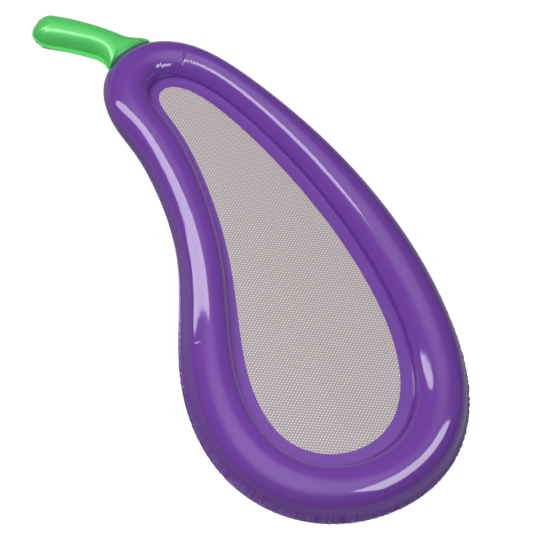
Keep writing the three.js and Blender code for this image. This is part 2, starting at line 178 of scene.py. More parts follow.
class FinishSettings(bpy.types.PropertyGroup):
    purple: colour("Purple", "Colour of the ring's film", "7846aa")
    welded_purple: colour("Welded purple", "Colour of the two purple films where they are one", "4b2d74")
    # Painted shade: colour of the purple film in the dips of its fine folds
    fold_shade_purple: colour("Fold shade purple", "Colour of the purple film in its folds", "5f3b8a")
    # Painted highlight: colour of the purple film on the ridges of its fine folds
    ridge_highlight_purple: colour("Ridge highlight purple", "Colour of the purple film on stretched folds", "8267a2")
    green: colour("Green", "Colour of the stalk's film", "5cd86c")
    thread: colour("Thread", "Colour of the net's threads", "b5a9aa")
    clear: colour("Clear vinyl", "Colour of the valves", "e2e2e8")
    floor: colour("Floor", "Colour of the floor and backdrop", "808080")


class StudioSettings(bpy.types.PropertyGroup):
    aim: bpy.props.FloatVectorProperty(
        name="Aim", description="Point that the camera looks at", size=3,
        default=(-0.0051, -0.0731, 0.0), subtype="TRANSLATION", unit="LENGTH")
    distance: bpy.props.FloatProperty(
        name="Distance", description="Distance from the camera to its aim", default=4.4, unit="LENGTH")
    azimuth: bpy.props.FloatProperty(
        name="Azimuth", description="Direction in which the camera looks, from +Y towards +X",
        default=math.radians(43.2), subtype="ANGLE")
    elevation: bpy.props.FloatProperty(
        name="Elevation", description="How far above the floor the camera stands",
        default=math.radians(55.0), subtype="ANGLE")
    roll: bpy.props.FloatProperty(
        name="Roll", description="Roll of the camera", default=math.radians(25.0), subtype="ANGLE")
    lens: bpy.props.FloatProperty(
        name="Lens", description="Focal length on a 36 mm sensor", default=100.93, subtype="DISTANCE_CAMERA")


# Materials

def add_node(tree, kind, settings=(), links=()):
    """One node with its settings, by property or input name, and its links: input name to output socket."""
    node = tree.nodes.new(kind)
    for key, value in dict(settings).items():
        if isinstance(key, str) and hasattr(node, key):
            setattr(node, key, value)
        else:
            node.inputs[key].default_value = value
    for key, socket in dict(links).items():
        tree.links.new(socket, node.inputs[key])
    return node


def new_material(name):
    material = bpy.data.materials.new(name)
    material.use_nodes = True
    material.node_tree.nodes.clear()
    return material, material.node_tree


def glossy_film(name, shade, roughness, fold_shade_and_highlight=None):
    """Calendered PVC film: smooth and glossy, with slow swells some 70 mm wide that bend its reflections, and
    a grain of some 2 mm that dulls them a little. Where a seam pulls it, it has fine folds about 5 mm apart
    in its bump, with painted shade in their dips and a painted highlight on their ridges. The last argument
    holds those two painted colours."""
    material, tree = new_material(name)
    place = add_node(tree, "ShaderNodeTexCoord")
    swell = add_node(tree, "ShaderNodeTexNoise", {"Scale": 14.0, "Detail": 2.0, "Roughness": 0.4},
                     {"Vector": place.outputs["Object"]})
    grain = add_node(tree, "ShaderNodeTexNoise", {"Scale": 420.0, "Detail": 3.0},
                     {"Vector": place.outputs["Object"]})
    bump = add_node(tree, "ShaderNodeBump", {"Strength": 0.12, "Distance": 0.004},
                    {"Height": swell.outputs["Fac"]})
    fine = add_node(tree, "ShaderNodeBump", {"Strength": 0.03, "Distance": 0.0004},
                    {"Height": grain.outputs["Fac"], "Normal": bump.outputs["Normal"]})
    if fold_shade_and_highlight:
        run = add_node(tree, "ShaderNodeAttribute", {"attribute_name": "seam_run"})
        pull = add_node(tree, "ShaderNodeAttribute", {"attribute_name": "seam_pull"})
        folds = add_node(tree, "ShaderNodeTexNoise", {"Scale": 190.0, "Detail": 2.0},
                         {"Vector": run.outputs["Vector"]})
        height = add_node(tree, "ShaderNodeMath", {"operation": "MULTIPLY"},
                          {0: folds.outputs["Fac"], 1: pull.outputs["Fac"]})
        fine = add_node(tree, "ShaderNodeBump", {"Strength": 0.7, "Distance": 0.004},
                        {"Height": height.outputs[0], "Normal": fine.outputs["Normal"]})
        # Painted shade in the folds' dips and painted highlight on their ridges, by the same noise that bumps
        # them
        ridge = add_node(tree, "ShaderNodeMapRange", {"From Min": 0.3, "From Max": 0.7},
                         {"Value": folds.outputs["Fac"]})
        fold_shading = add_node(tree, "ShaderNodeMix", {"data_type": "RGBA"}, {"Factor": ridge.outputs["Result"]})
        fold_shading.inputs[6].default_value = (*fold_shade_and_highlight[0], 1.0)
        fold_shading.inputs[7].default_value = (*fold_shade_and_highlight[1], 1.0)
        painted_folds = add_node(tree, "ShaderNodeMix", {"data_type": "RGBA"},
                        {"Factor": pull.outputs["Fac"], 7: fold_shading.outputs[2]})
        painted_folds.inputs[6].default_value = (*shade, 1.0)
    rubbed = add_node(tree, "ShaderNodeMapRange",
                      {"To Min": roughness - 0.03, "To Max": roughness + 0.05},
                      {"Value": grain.outputs["Fac"]})
    surface = add_node(
        tree, "ShaderNodeBsdfPrincipled",
        {"Base Color": (*shade, 1.0), "IOR": 1.53, "Subsurface Weight": 0.0, "Coat Weight": 0.0},
        {"Normal": fine.outputs["Normal"], "Roughness": rubbed.outputs["Result"]})
    if fold_shade_and_highlight:
        tree.links.new(painted_folds.outputs[2], surface.inputs["Base Color"])
    add_node(tree, "ShaderNodeOutputMaterial", links={"Surface": surface.outputs["BSDF"]})
    return material


def knitted_net(name, shade):
    """Knitted polyester net: matt strands, with the relief of threads about 1 mm thick, and painted shade in
    their dips and a painted highlight on their tops, by the same noise as that relief."""
    material, tree = new_material(name)
    place = add_node(tree, "ShaderNodeTexCoord")
    fibre = add_node(tree, "ShaderNodeTexNoise", {"Scale": 900.0, "Detail": 2.0},
                     {"Vector": place.outputs["Object"]})
    bump = add_node(tree, "ShaderNodeBump", {"Strength": 0.5, "Distance": 0.0008},
                    {"Height": fibre.outputs["Fac"]})
    # Painted shade and highlight: darker where the threads' bump is low, lighter where it is high
    relief_shading = add_node(tree, "ShaderNodeMix", {"data_type": "RGBA"}, {"Factor": fibre.outputs["Fac"]})
    relief_shading.inputs[6].default_value = (*[0.86 * c for c in shade], 1.0)
    relief_shading.inputs[7].default_value = (*[min(1.0, 1.12 * c) for c in shade], 1.0)
    surface = add_node(tree, "ShaderNodeBsdfPrincipled", {"Roughness": 0.7, "Sheen Weight": 0.2},
                       {"Base Color": relief_shading.outputs[2], "Normal": bump.outputs["Normal"]})
    add_node(tree, "ShaderNodeOutputMaterial", links={"Surface": surface.outputs["BSDF"]})
    return material


def clear_vinyl(name, shade):
    """Injection-moulded soft PVC: cloudy, half see-through and softly glossy."""
    material, tree = new_material(name)
    place = add_node(tree, "ShaderNodeTexCoord")
    cloud = add_node(tree, "ShaderNodeTexNoise", {"Scale": 160.0, "Detail": 2.0},
                     {"Vector": place.outputs["Object"]})
    bump = add_node(tree, "ShaderNodeBump", {"Strength": 0.1, "Distance": 0.0005},
                    {"Height": cloud.outputs["Fac"]})
    surface = add_node(
        tree, "ShaderNodeBsdfPrincipled",
        {"Base Color": (*shade, 1.0), "IOR": 1.53, "Roughness": 0.3, "Transmission Weight": 0.35},
        {"Normal": bump.outputs["Normal"]})
    add_node(tree, "ShaderNodeOutputMaterial", links={"Surface": surface.outputs["BSDF"]})
    return material


# Backdrop's glow: its share in what the camera sees and in reflections, and its strength
SEEN_GLOW = 0.92
REFLECTED_GLOW = 0.3
GLOW_STRENGTH = 1.1


def studio_white(name, shade):
    """Paper backdrop: white to the camera and through the clear vinyl, pale in reflections. It keeps a little
    of its own colour, which holds the object's shadow."""
    material, tree = new_material(name)
    path = add_node(tree, "ShaderNodeLightPath")
    seen = add_node(tree, "ShaderNodeMath", {"operation": "MAXIMUM"},
                    {0: path.outputs["Is Camera Ray"], 1: path.outputs["Is Transmission Ray"]})
    direct = add_node(tree, "ShaderNodeMath", {"operation": "MULTIPLY", 1: SEEN_GLOW}, {0: seen.outputs[0]})
    share = add_node(tree, "ShaderNodeMath", {"operation": "MULTIPLY_ADD", 1: REFLECTED_GLOW},
                     {0: path.outputs["Is Glossy Ray"], 2: direct.outputs[0]})
    paper = add_node(tree, "ShaderNodeBsdfDiffuse", {"Color": (*shade, 1.0)})
    glow = add_node(tree, "ShaderNodeEmission", {"Color": (1.0, 1.0, 1.0, 1.0), "Strength": GLOW_STRENGTH})
    mixed = add_node(tree, "ShaderNodeMixShader", links={0: share.outputs[0], 1: paper.outputs["BSDF"],
                                                         2: glow.outputs["Emission"]})
    add_node(tree, "ShaderNodeOutputMaterial", links={"Surface": mixed.outputs["Shader"]})
    return material


# Shapes

def blend_rows(turns):
    """Values of the outline at these turns round it, and their slopes: a blend of four neighbouring rows."""
    count = len(OUTLINE_SHARES)
    place = (turns % 1.0) * count
    index = place.astype(int) % count
    u = place - np.floor(place)
    weights = [(1 - u) ** 3, 3 * u ** 3 - 6 * u ** 2 + 4, -3 * u ** 3 + 3 * u ** 2 + 3 * u + 1, u ** 3]
    slopes = [-3 * (1 - u) ** 2, 9 * u ** 2 - 12 * u, -9 * u ** 2 + 6 * u + 3, 3 * u ** 2]
    value = sum(w[:, None] * OUTLINE_SHARES[(index + k - 1) % count] for k, w in enumerate(weights)) / 6
    slope = sum(w[:, None] * OUTLINE_SHARES[(index + k - 1) % count] for k, w in enumerate(slopes)) / 6
    return value, slope


def seam_height(y):
    """Height of the seams above the floor: one sloping plane, half as high as the tube everywhere."""
    ring = bpy.context.scene.ring_settings
    share = (y - ring.opening_middle[1]) / ring.opening_length + 0.5
    return ring.wide_end_half_height + (ring.narrow_end_half_height - ring.wide_end_half_height) * share


class Stations:
    """Places round the ring: point on the opening, outward direction, and the sizes there."""

    def __init__(self, turns):
        ring = bpy.context.scene.ring_settings
        self.turns = turns
        value, slope = blend_rows(turns)
        scale = np.array([ring.opening_width, ring.opening_length])
        self.point = value[:, :2] * scale + np.array(ring.opening_middle[:2])
        along = slope[:, :2] * scale
        along /= np.linalg.norm(along, axis=1)[:, None]
        self.outward = np.stack([-along[:, 1], along[:, 0]], axis=1)
        self.height = seam_height(self.point[:, 1])
        self.radius = value[:, 2] * self.height
        self.band = value[:, 3] * ring.band_width
        self.seam_share = value[:, 4]
        self.seam = self.seam_share * ring.seam_width

    def outside(self, distance):
        return self.point + self.outward * np.asarray(distance)[:, None]

    def edge(self):
        return self.band + 2 * self.radius + self.seam


def run_lengths(points):
    """Distance along a closed run of points, from the first one to each, and the whole length."""
    steps = np.linalg.norm(np.roll(points, -1, axis=0) - points, axis=1)
    return np.concatenate([[0.0], np.cumsum(steps)[:-1]]), steps.sum()


def bend_of(points):
    """Signed bend of a closed run of points, 1 over its radius: positive where the ring bulges out."""
    before, after = points - np.roll(points, 1, axis=0), np.roll(points, -1, axis=0) - points
    turn = np.arctan2(before[:, 0] * after[:, 1] - before[:, 1] * after[:, 0], (before * after).sum(axis=1))
    return -turn / np.linalg.norm((before + after) / 2, axis=1)


def deselect_all():
    if bpy.context.object and bpy.context.object.mode != "OBJECT":
        bpy.ops.object.mode_set(mode="OBJECT")
    bpy.ops.object.select_all(action="DESELECT")


def activate(piece):
    deselect_all()
    piece.select_set(True)
    bpy.context.view_layer.objects.active = piece


def film_sheet(name, places, closed, outwards, pull=None):
    """A grid primitive drawn over rows of places. A closed one joins its last row to its first, and
    outwards is the vertical sign of its outer side. Where a seam pulls the film, pull says how much, and
    seam_run holds the way along the seam, laid round a circle so that it has no end."""
    rows, columns = places.shape[:2]
    if closed:
        places = np.concatenate([places, places[:1]])
        rows += 1
    deselect_all()
    bpy.ops.mesh.primitive_grid_add(x_subdivisions=columns - 1, y_subdivisions=rows - 1, size=1.0)
    piece = bpy.context.object
    piece.name = piece.data.name = name
    piece.data.vertices.foreach_set("co", places.reshape(-1))
    piece.data.update()
    if pull is not None:
        turns = 2 * math.pi * np.arange(rows) / (rows - 1)
        radius = run_lengths(places[:-1, 0])[1] / (2 * math.pi)
        circle = radius * np.column_stack([np.cos(turns), np.sin(turns), 0 * turns])
        circle = np.repeat(circle[:, None], columns, axis=1)
        pull = np.concatenate([pull, pull[:1]])
        runs = piece.data.attributes.new("seam_run", "FLOAT_VECTOR", "POINT")
        runs.data.foreach_set("vector", circle.reshape(-1))
        pulls = piece.data.attributes.new("seam_pull", "FLOAT", "POINT")
        pulls.data.foreach_set("value", pull.reshape(-1))
    bpy.ops.object.mode_set(mode="EDIT")
    bpy.ops.mesh.select_all(action="SELECT")
    bpy.ops.mesh.remove_doubles(threshold=0.00002)
    bpy.ops.object.mode_set(mode="OBJECT")
    if sum(f.normal.z * f.area for f in piece.data.polygons) * outwards < 0:
        bpy.ops.object.mode_set(mode="EDIT")
        bpy.ops.mesh.select_all(action="SELECT")
        bpy.ops.mesh.flip_normals()
        bpy.ops.object.mode_set(mode="OBJECT")
    return piece


def thicken(piece, thickness, offset=-1.0):
    activate(piece)
    wall = piece.modifiers.new("wall", "SOLIDIFY")
    wall.thickness = thickness
    wall.offset = offset
    bpy.ops.object.modifier_apply(modifier=wall.name)


def finish_piece(piece, body, node, slot_name, *materials):
    """Smooth shading, materials, the body that the piece rides on, and hiding the node that it stands for."""
    activate(piece)
    bpy.ops.object.shade_smooth_by_angle(angle=math.radians(40))
    for material in materials:
        piece.data.materials.append(material)
    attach(piece, body)
    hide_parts(node)


# Arc of the tube's half section, in degrees from the inner foot: closest together where the film is
# drawn into the seams
TOP_ARC_DEGREES = [0, 4, 9, 16, 24, 33, 43, 54, 66, 78, 90, 102, 114, 125, 135, 144, 152, 159, 165, 170, 174,
                   177, 180]
BOTTOM_ARC_DEGREES = [0, 6, 15, 27, 42, 58, 74, 84, 96, 106, 122, 138, 152, 163, 171, 176, 180]

# Shares across the inner flange from the tube's foot, across the bead beside it, and across the outer seam
FLANGE_SHARES = (INNER_SEAM_SHARE, INNER_SEAM_SHARE / 2, 0.08)
BEAD_SHARES = (0.0, 0.06, 0.18, 0.36, 0.58, 0.8)
RIM_SHARES = (0.06, 0.16, 0.3, 0.46, 0.64, 0.82, 0.95, 1.0)
CUT_EDGE_STRIPS = 2

# How hard the outer seam puckers where the ring runs straight, and the bend at which it puckers fully, as 1
# over a radius in metres
STRAIGHT_PUCKER = 0.18
FULL_PUCKER_BEND = 2.6

# Share of the seam's waves at its foot, and how much its fine folds show on the seam and on the tube,
# with their bump and their painted shade and highlight
FOOT_WAVE = 0.35
RIM_PULL = 0.8
TUBE_PULL = 0.25

# Creases of the ring's film: place round the ring, angle up the tube from its inner foot, half the length
# as an angle, half the width round the ring, and depth in millimetres
CREASES = [(0.0262, 73, 26, 0.0010, 3.2), (0.0351, 56, 10, 0.0008, 1.6), (0.0387, 56, 10, 0.0008, 1.6),
           (0.0423, 57, 9, 0.0008, 1.3), (0.9928, 46, 7, 0.0022, 1.6), (0.0091, 36, 6, 0.0020, 1.2),
           (0.9390, 81, 8, 0.0009, 0.7), (0.6803, 128, 12, 0.0009, 0.8)]


def pucker_pattern(distance, pitch):
    """Uneven puckers along a seam: 1 on the swells and 0 on the pinches, and the wave they belong to."""
    x = distance / pitch
    phase = math.pi * (x + 0.32 * np.sin(2 * math.pi * x / 5.3) + 0.21 * np.sin(2 * math.pi * x / 2.7 + 1.3))
    depth = 0.65 + 0.35 * np.sin(2 * math.pi * x / 7.1 + 0.7)
    return 1 - depth * (1 - np.abs(np.sin(phase)) ** 0.6), depth * np.cos(2 * phase)


def crease_depth(turns, degree):
    """How deep the short creases at the neck and on the left side cut in, at one angle of the tube."""
    depth = np.zeros_like(turns)
    for turn, middle, spread, width, deepest in CREASES:
        offset = (turns - turn + 0.5) % 1 - 0.5
        depth += deepest * np.exp(-(offset / width) ** 2) * math.exp(-((degree - middle) / spread) ** 4)
    return depth * MILLIMETRE


def pucker_strength(stations):
    """How hard the outer seam puckers, from 0 to 1: most where the ring bulges, and not at all where the seam
    is narrow."""
    bend = bend_of(stations.outside(stations.band + stations.radius)) / FULL_PUCKER_BEND
    wide = np.clip(2 * stations.seam_share - 0.9, 0.0, 1.0)
    return np.clip(STRAIGHT_PUCKER + bend, 0.0, 1.0) * wide


def ring_rows(stations, degrees, side):
    """Rows of places for one skin of the ring, and how much the seam pulls its film there: inner flange,
    bead, tube, and the puckered outer seam, into which the film turns along a hollow."""
    ring = bpy.context.scene.ring_settings
    high = ring.weld_gap / 2 + ring.film_thickness
    outer_foot = stations.outside(stations.band + 2 * stations.radius)
    run, whole = run_lengths(outer_foot)
    swell, wave = pucker_pattern(run, whole / round(whole / ring.pucker_pitch))
    strength = pucker_strength(stations)
    pucker = ring.pucker_depth * strength * (1 - swell)
    waves = ring.seam_wave * strength * wave
    # The bead fades out where the seam is narrow, but stays a hair wide, so that its columns don't merge
    ledge = ring.inner_ledge * np.clip(1.6 * stations.seam_share - 1.0, 0.06, 1.0)
    hollow = np.arcsin(ring.hollow_rise * np.clip(stations.seam_share, 0.0, 1.0)
                       / (seam_height(outer_foot[:, 1]) - high))
    columns, pulls = [], []

    def place(distance, rise, lift, pull):
        plan = stations.outside(distance)
        level = seam_height(plan[:, 1]) + side * (high + (seam_height(plan[:, 1]) - high) * rise) + lift
        columns.append(np.column_stack([plan, level]))
        pulls.append(pull)

    flat = math.acos(1 - ring.floor_flat_depth / ring.wide_end_half_height)
    zero = np.zeros_like(run)
    for share in FLANGE_SHARES:
        place(stations.band * (1 - share), zero, zero, zero)
    for share in BEAD_SHARES:
        bead = ledge / ring.inner_ledge * ring.bead_height * math.sin(math.pi * share ** 0.8)
        place(stations.band + ledge * share, zero, bead, zero)
    for degree in degrees:
        angle = (math.pi - hollow) * degree / 180
        reach = (math.pi - hollow - angle) * stations.radius
        drawn = pucker * np.exp(-reach / ring.pucker_reach)
        if side > 0:
            drawn = drawn + crease_depth(stations.turns, degree)
        rise = np.maximum(np.sin(angle), 0.02)
        if side < 0:
            rise = np.minimum(rise / math.cos(flat), 1.0)
        share = 1 - drawn / stations.radius
        inset = ledge * np.exp(-(angle / 0.35) ** 2)
        place(stations.band + inset + stations.radius * (1 - np.cos(angle) * share), rise * share,
              waves * FOOT_WAVE * np.exp(-reach / ring.wave_reach),
              TUBE_PULL * strength * np.exp(-reach / ring.fold_reach))
    for share in RIM_SHARES:
        lift = waves * (FOOT_WAVE + (1 - FOOT_WAVE) * share ** 1.5) - ring.rim_drop * share
        lift += ring.rim_swell * strength * (swell - 0.6) * math.sin(math.pi * share)
        foot = stations.band + stations.radius * (2 - (1 - np.cos(hollow)) * (1 - share))
        rim = foot - pucker * (1 - share) ** 2 + stations.seam * share * (1 + 0.10 * strength * wave)
        place(rim, np.sin(hollow) * (1 - share) ** 2, lift, RIM_PULL * strength * min(1.0, 0.3 + 1.4 * share))
    return np.stack(columns, axis=1), np.stack(pulls, axis=1)


class POOLFLOAT_OT_ring(bpy.types.Operator):
    """Two welded film sheets of the air tube that rings the net"""
    bl_idname = "poolfloat.ring"
    bl_label = "Ring sheets"

    def execute(self, context):
        finish = context.scene.finish_settings
        # The ring's film gets painted shade and highlight on its seam's fine folds
        film = glossy_film("purple_calendered_vinyl", finish.purple, 0.07,
                           (finish.fold_shade_purple, finish.ridge_highlight_purple))
        rim = glossy_film("purple_welded_vinyl", finish.welded_purple, 0.3)
        stations = Stations(np.arange(1040) / 1040)
        for name, node, degrees, side in (
            ("ring_top_skin", "ring_top_sheet", TOP_ARC_DEGREES, 1),
            ("ring_bottom_skin", "ring_bottom_sheet", BOTTOM_ARC_DEGREES, -1),
        ):
            places, pulls = ring_rows(stations, degrees, side)
            skin = film_sheet(name, places, True, side, pulls)
            strips = places.shape[1] - 1
            for index, face in enumerate(skin.data.polygons):
                face.material_index = 1 if index % strips >= strips - CUT_EDGE_STRIPS else 0
            thicken(skin, context.scene.ring_settings.film_thickness)
            finish_piece(skin, "mattress", node, "purple_film", film, rim)
        return {"FINISHED"}


class POOLFLOAT_OT_bands(bpy.types.Operator):
    """Flat bands over and under the net's edge, from the opening to the tube's foot"""
    bl_idname = "poolfloat.bands"
    bl_label = "Bands"

    def execute(self, context):
        ring = context.scene.ring_settings
        film = glossy_film("purple_band_vinyl", context.scene.finish_settings.purple, 0.2)
        stations = Stations(np.arange(520) / 520)
        low = 1.5 * ring.weld_gap + ring.film_thickness
        for name, node, side in (
            ("band_top_weld", "band_top_strip", 1), ("band_bottom_weld", "band_bottom_strip", -1),
        ):
            columns = []
            for share in (0.0, 0.02, 0.06, 0.12, 0.3, 0.34, 0.38, 0.42, 0.5, 0.7, 0.9, 0.97):
                plan = stations.outside((stations.band - ring.weld_gap) * share)
                press = PRESS_LINE_DEPTH * math.exp(-((share - PRESS_LINE_SHARE) / PRESS_LINE_SPREAD) ** 2)
                level = seam_height(plan[:, 1]) + side * (low + ring.film_thickness - press)
                columns.append(np.column_stack([plan, level]))
            band = film_sheet(name, np.stack(columns, axis=1), True, side)
            thicken(band, ring.film_thickness)
            finish_piece(band, "mattress", node, "purple_film", film)
        return {"FINISHED"}


class POOLFLOAT_OT_net(bpy.types.Operator):
    """Net panel, stretched between the bands"""
    bl_idname = "poolfloat.net"
    bl_label = "Net panel"

    def execute(self, context):
        net = context.scene.net_settings
        thread = knitted_net("grey_knitted_polyester", context.scene.finish_settings.thread)
        stations = Stations(np.arange(208) / 208)
        edge = stations.outside(stations.band * NET_REACH_SHARE)
        low, high = edge.min(axis=0), edge.max(axis=0)
        turn, angle, side = net.cell_turn, net.cell_angle, net.cell_side
        first = side * np.array([math.cos(turn), math.sin(turn)])
        second = side * np.array([math.cos(turn + angle), math.sin(turn + angle)])
        middle = (low + high) / 2
        span = np.linalg.norm(high - low)
        cells = int(span / side) + 2
        deselect_all()
        bpy.ops.mesh.primitive_grid_add(x_subdivisions=cells, y_subdivisions=cells, size=cells)
        panel = bpy.context.object
        panel.name = panel.data.name = "net_weave"
        corners = np.empty(len(panel.data.vertices) * 3)
        panel.data.vertices.foreach_get("co", corners)
        corners = corners.reshape(-1, 3)
        plan = middle + corners[:, :1] * first + corners[:, 1:2] * second
        panel.data.vertices.foreach_set(
            "co", np.column_stack([plan, np.zeros(len(plan))]).reshape(-1))
        panel.data.update()
        activate(panel)
        bpy.ops.object.mode_set(mode="EDIT")
        bpy.ops.mesh.select_mode(type="FACE")
        bpy.ops.mesh.select_all(action="DESELECT")
        bpy.ops.object.mode_set(mode="OBJECT")
        centres = np.array([face.center[:2] for face in panel.data.polygons])
        inside = points_inside(centres, edge)
        for face, kept in zip(panel.data.polygons, inside):
            face.select = not kept
        bpy.ops.object.mode_set(mode="EDIT")
        bpy.ops.mesh.delete(type="FACE")
        bpy.ops.mesh.select_all(action="SELECT")
        bpy.ops.mesh.inset(thickness=net.thread_width / 2, use_individual=True, use_even_offset=True)
        bpy.ops.mesh.delete(type="FACE")
        bpy.ops.object.mode_set(mode="OBJECT")
        for vertex in panel.data.vertices:
            vertex.co.z = seam_height(vertex.co.y)
        thicken(panel, net.net_thickness, 0.0)
        finish_piece(panel, "mattress", "net_panel", "grey_net", thread)
        return {"FINISHED"}


def points_inside(points, outline):
    """Which points lie inside a closed outline."""
    inside = np.zeros(len(points), bool)
    for a, b in zip(outline, np.roll(outline, -1, axis=0)):
        crosses = (a[1] > points[:, 1]) != (b[1] > points[:, 1])
        if a[1] != b[1]:
            at = a[0] + (points[:, 1] - a[1]) * (b[0] - a[0]) / (b[1] - a[1])
            inside ^= crosses & (points[:, 0] < at)
    return inside


# Stalk

def beside_wall(turns, angles):
    """Places beside the ring's outer wall: their plan, and their height above the seam plane."""
    ring, stalk = bpy.context.scene.ring_settings, bpy.context.scene.stalk_settings
    stations = Stations(turns)
    plan = stations.outside(stations.band + stations.radius * (1 + np.cos(angles)) + stalk.root_clearance)
    high = ring.weld_gap / 2 + ring.film_thickness
    return plan, (seam_height(plan[:, 1]) - high) * np.sin(angles)


def smooth_through(rows, steps):
    """Smooth run between the rows but for the first and last one: places on a curve, the rest in between."""
    out = []
    for a, b, c, d in zip(rows, rows[1:], rows[2:], rows[3:]):
        for u in np.arange(steps) / steps:
            curve = 0.5 * (2 * b + (c - a) * u + (2 * a - 5 * b + 4 * c - d) * u ** 2
                           + (3 * b - a - 3 * c + d) * u ** 3)
            out.append(np.concatenate([curve[:2], (b + (c - b) * u)[2:]]))
    return np.array(out)


def stalk_outline():
    """Outline of the stalk's seam, through the root, the left side, the tip and the right side. Each row has
    the edge's x and y, its ridge point's x and y, its height over the seam plane, its straddle share, its
    seam width, its ridge point's height, and the way down its weld: x, y and z."""
    stalk = bpy.context.scene.stalk_settings
    left, right = ROOT_SHARES["left"], ROOT_SHARES["right"]
    centre = Stations(np.array([ROOT_SHARES["centre"]]))
    start = centre.outside(centre.edge())[0]
    bend_radius = stalk.stalk_length / stalk.turn

    def to_right(heading):
        return np.array([math.sin(heading), -math.cos(heading)])

    def frame_at(along):
        away = to_right(stalk.root_heading + stalk.turn * along)
        return start - bend_radius * to_right(stalk.root_heading) + bend_radius * away, away

    def item(point, rib):
        along, across, seam, straddle = point
        middle, away = frame_at(along)
        edge = middle + away * across * stalk.stalk_radius
        top = rib[1] * stalk.stalk_radius
        return (*edge, *frame_at(rib[0])[0], 0.0, straddle, seam * stalk.stalk_seam_width, top, 0.0, 0.0, 0.0)

    turns = np.linspace(right, left, 48)
    climb = stalk.climb * np.sin(np.pi * (right - turns) / (right - left))
    edge, height = beside_wall(turns, climb)
    weld, weld_height = beside_wall(turns, climb * (1 - ROOT_WELD_SHARE))
    first, last = RIB_SHARES[0], RIB_SHARES[-1]
    ridge = np.tile(frame_at(first[0])[0], (len(turns), 1))
    one = np.ones_like(turns)
    top = first[1] * stalk.stalk_radius * one
    root = np.column_stack([edge, ridge, height, one, 0 * one, top, weld - edge, weld_height - height])
    sides = [item(rib[2], rib) for rib in RIB_SHARES]
    sides += [item(point, last) for point in TIP_SHARES]
    sides += [item(rib[3], rib) for rib in reversed(RIB_SHARES)]
    sides += [item(point, first) for point in RIGHT_CORNER_SHARES]
    run = smooth_through(np.array([root[-4], root[-1], *sides, root[0], root[3]]), 10)
    return np.concatenate([root, run[1:]])


def stalk_rows(side):
    """Rows of places for one skin of the stalk, from the seam's rim up to the ridge."""
    scene = bpy.context.scene
    stalk, ring = scene.stalk_settings, scene.ring_settings
    rows = stalk_outline()
    edge, ridge, height, straddle, seam, top, weld = (
        rows[:, :2], rows[:, 2:4], rows[:, 4], rows[:, 5], rows[:, 6], rows[:, 7], rows[:, 8:])
    along = np.roll(edge, -1, axis=0) - np.roll(edge, 1, axis=0)
    along /= np.linalg.norm(along, axis=1)[:, None]
    outward = np.stack([-along[:, 1], along[:, 0]], axis=1)
    high = ring.weld_gap / 2 + ring.film_thickness
    foot = height + straddle * (ring.film_thickness + ring.weld_gap)
    run, whole = run_lengths(edge)
    swell, wave = pucker_pattern(run, whole / STALK_PUCKERS)
    free = seam / stalk.stalk_seam_width
    columns = []
    for share in (1.0, 0.9, 0.6, 0.3, 0.1):
        plan = edge + outward * (seam * share)[:, None] + weld[:, :2] * share
        level = side * (high + foot + weld[:, 2] * share) + stalk.stalk_seam_wave * wave * share * free
        columns.append(np.column_stack([plan, seam_height(plan[:, 1]) + level]))
    for degree in (0, 3, 7, 12, 18, 25, 33, 41, 50, 59, 68, 76, 83, 90):
        angle = math.radians(degree)
        drawn = stalk.stalk_pucker_depth * free * (1 - swell) * math.exp(-angle / 0.25)
        reach = (edge - ridge) * (math.cos(angle) - (drawn / np.linalg.norm(edge - ridge, axis=1)))[:, None]
        plan = ridge + reach
        level = high + foot + (top - ring.film_thickness - foot) * math.sin(angle)
        columns.append(np.column_stack([plan, seam_height(plan[:, 1]) + side * level]))
    columns[-1] = np.column_stack([ridge, columns[-1][:, 2]])
    return np.stack(columns, axis=1)


class POOLFLOAT_OT_stalk(bpy.types.Operator):
    """Two welded film sheets of the green stalk"""
    bl_idname = "poolfloat.stalk"
    bl_label = "Stalk sheets"

    def execute(self, context):
        film = glossy_film("green_calendered_vinyl", context.scene.finish_settings.green, 0.23)
        for name, node, side in (
            ("stalk_top_skin", "stalk_top_sheet", 1), ("stalk_bottom_skin", "stalk_bottom_sheet", -1),
        ):
            skin = film_sheet(name, stalk_rows(side), True, side)
            thicken(skin, context.scene.ring_settings.film_thickness)
            finish_piece(skin, "mattress", node, "green_film", film)
        return {"FINISHED"}


class POOLFLOAT_OT_valves(bpy.types.Operator):
    """Finish of the two inflation valves"""
    bl_idname = "poolfloat.valves"
    bl_label = "Valves"

    def execute(self, context):
        vinyl = clear_vinyl("clear_moulded_vinyl", context.scene.finish_settings.clear)
        for place in ("ring", "stalk"):
            for part in ("body", "flap", "plug"):
                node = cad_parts[f"{place}_valve_{part}"]
                node.data.materials.clear()
                node.data.materials.append(vinyl)
        return {"FINISHED"}


# Stage

# Lamps that only highlights show: name, place, facing, roll, width, depth and shape, and their radiance
STRIP_LAMPS = [
    ("low_left_strip", (-0.91, 0.90, 0.81), (0.152, -0.132, -0.98), 5.6, 0.33, 2.2, "ELLIPSE"),
    ("right_strip", (1.20, -1.20, 1.74), (-0.528, 0.372, -0.763), -4.0, 1.74, 0.74, "RECTANGLE"),
]
STRIP_RADIANCE = 7.8

# Lamps that highlights don't show, square and turned to the origin: name, place and radiance, and their side
FILL_LAMPS = [
    ("front_fill", (-0.25, -1.2, 2.2), 5.0), ("left_fill", (-1.36, -1.36, 2.3), 2.4),
    ("back_fill", (-1.2, 1.5, 2.3), 9.2), ("top_fill", (0.0, 0.0, 3.0), 2.8),
]
FILL_SIDE = 1.2

# Strength of the studio's surround, and of the pale ceiling that only reflections show
SURROUND = 0.1
CEILING = 1.5


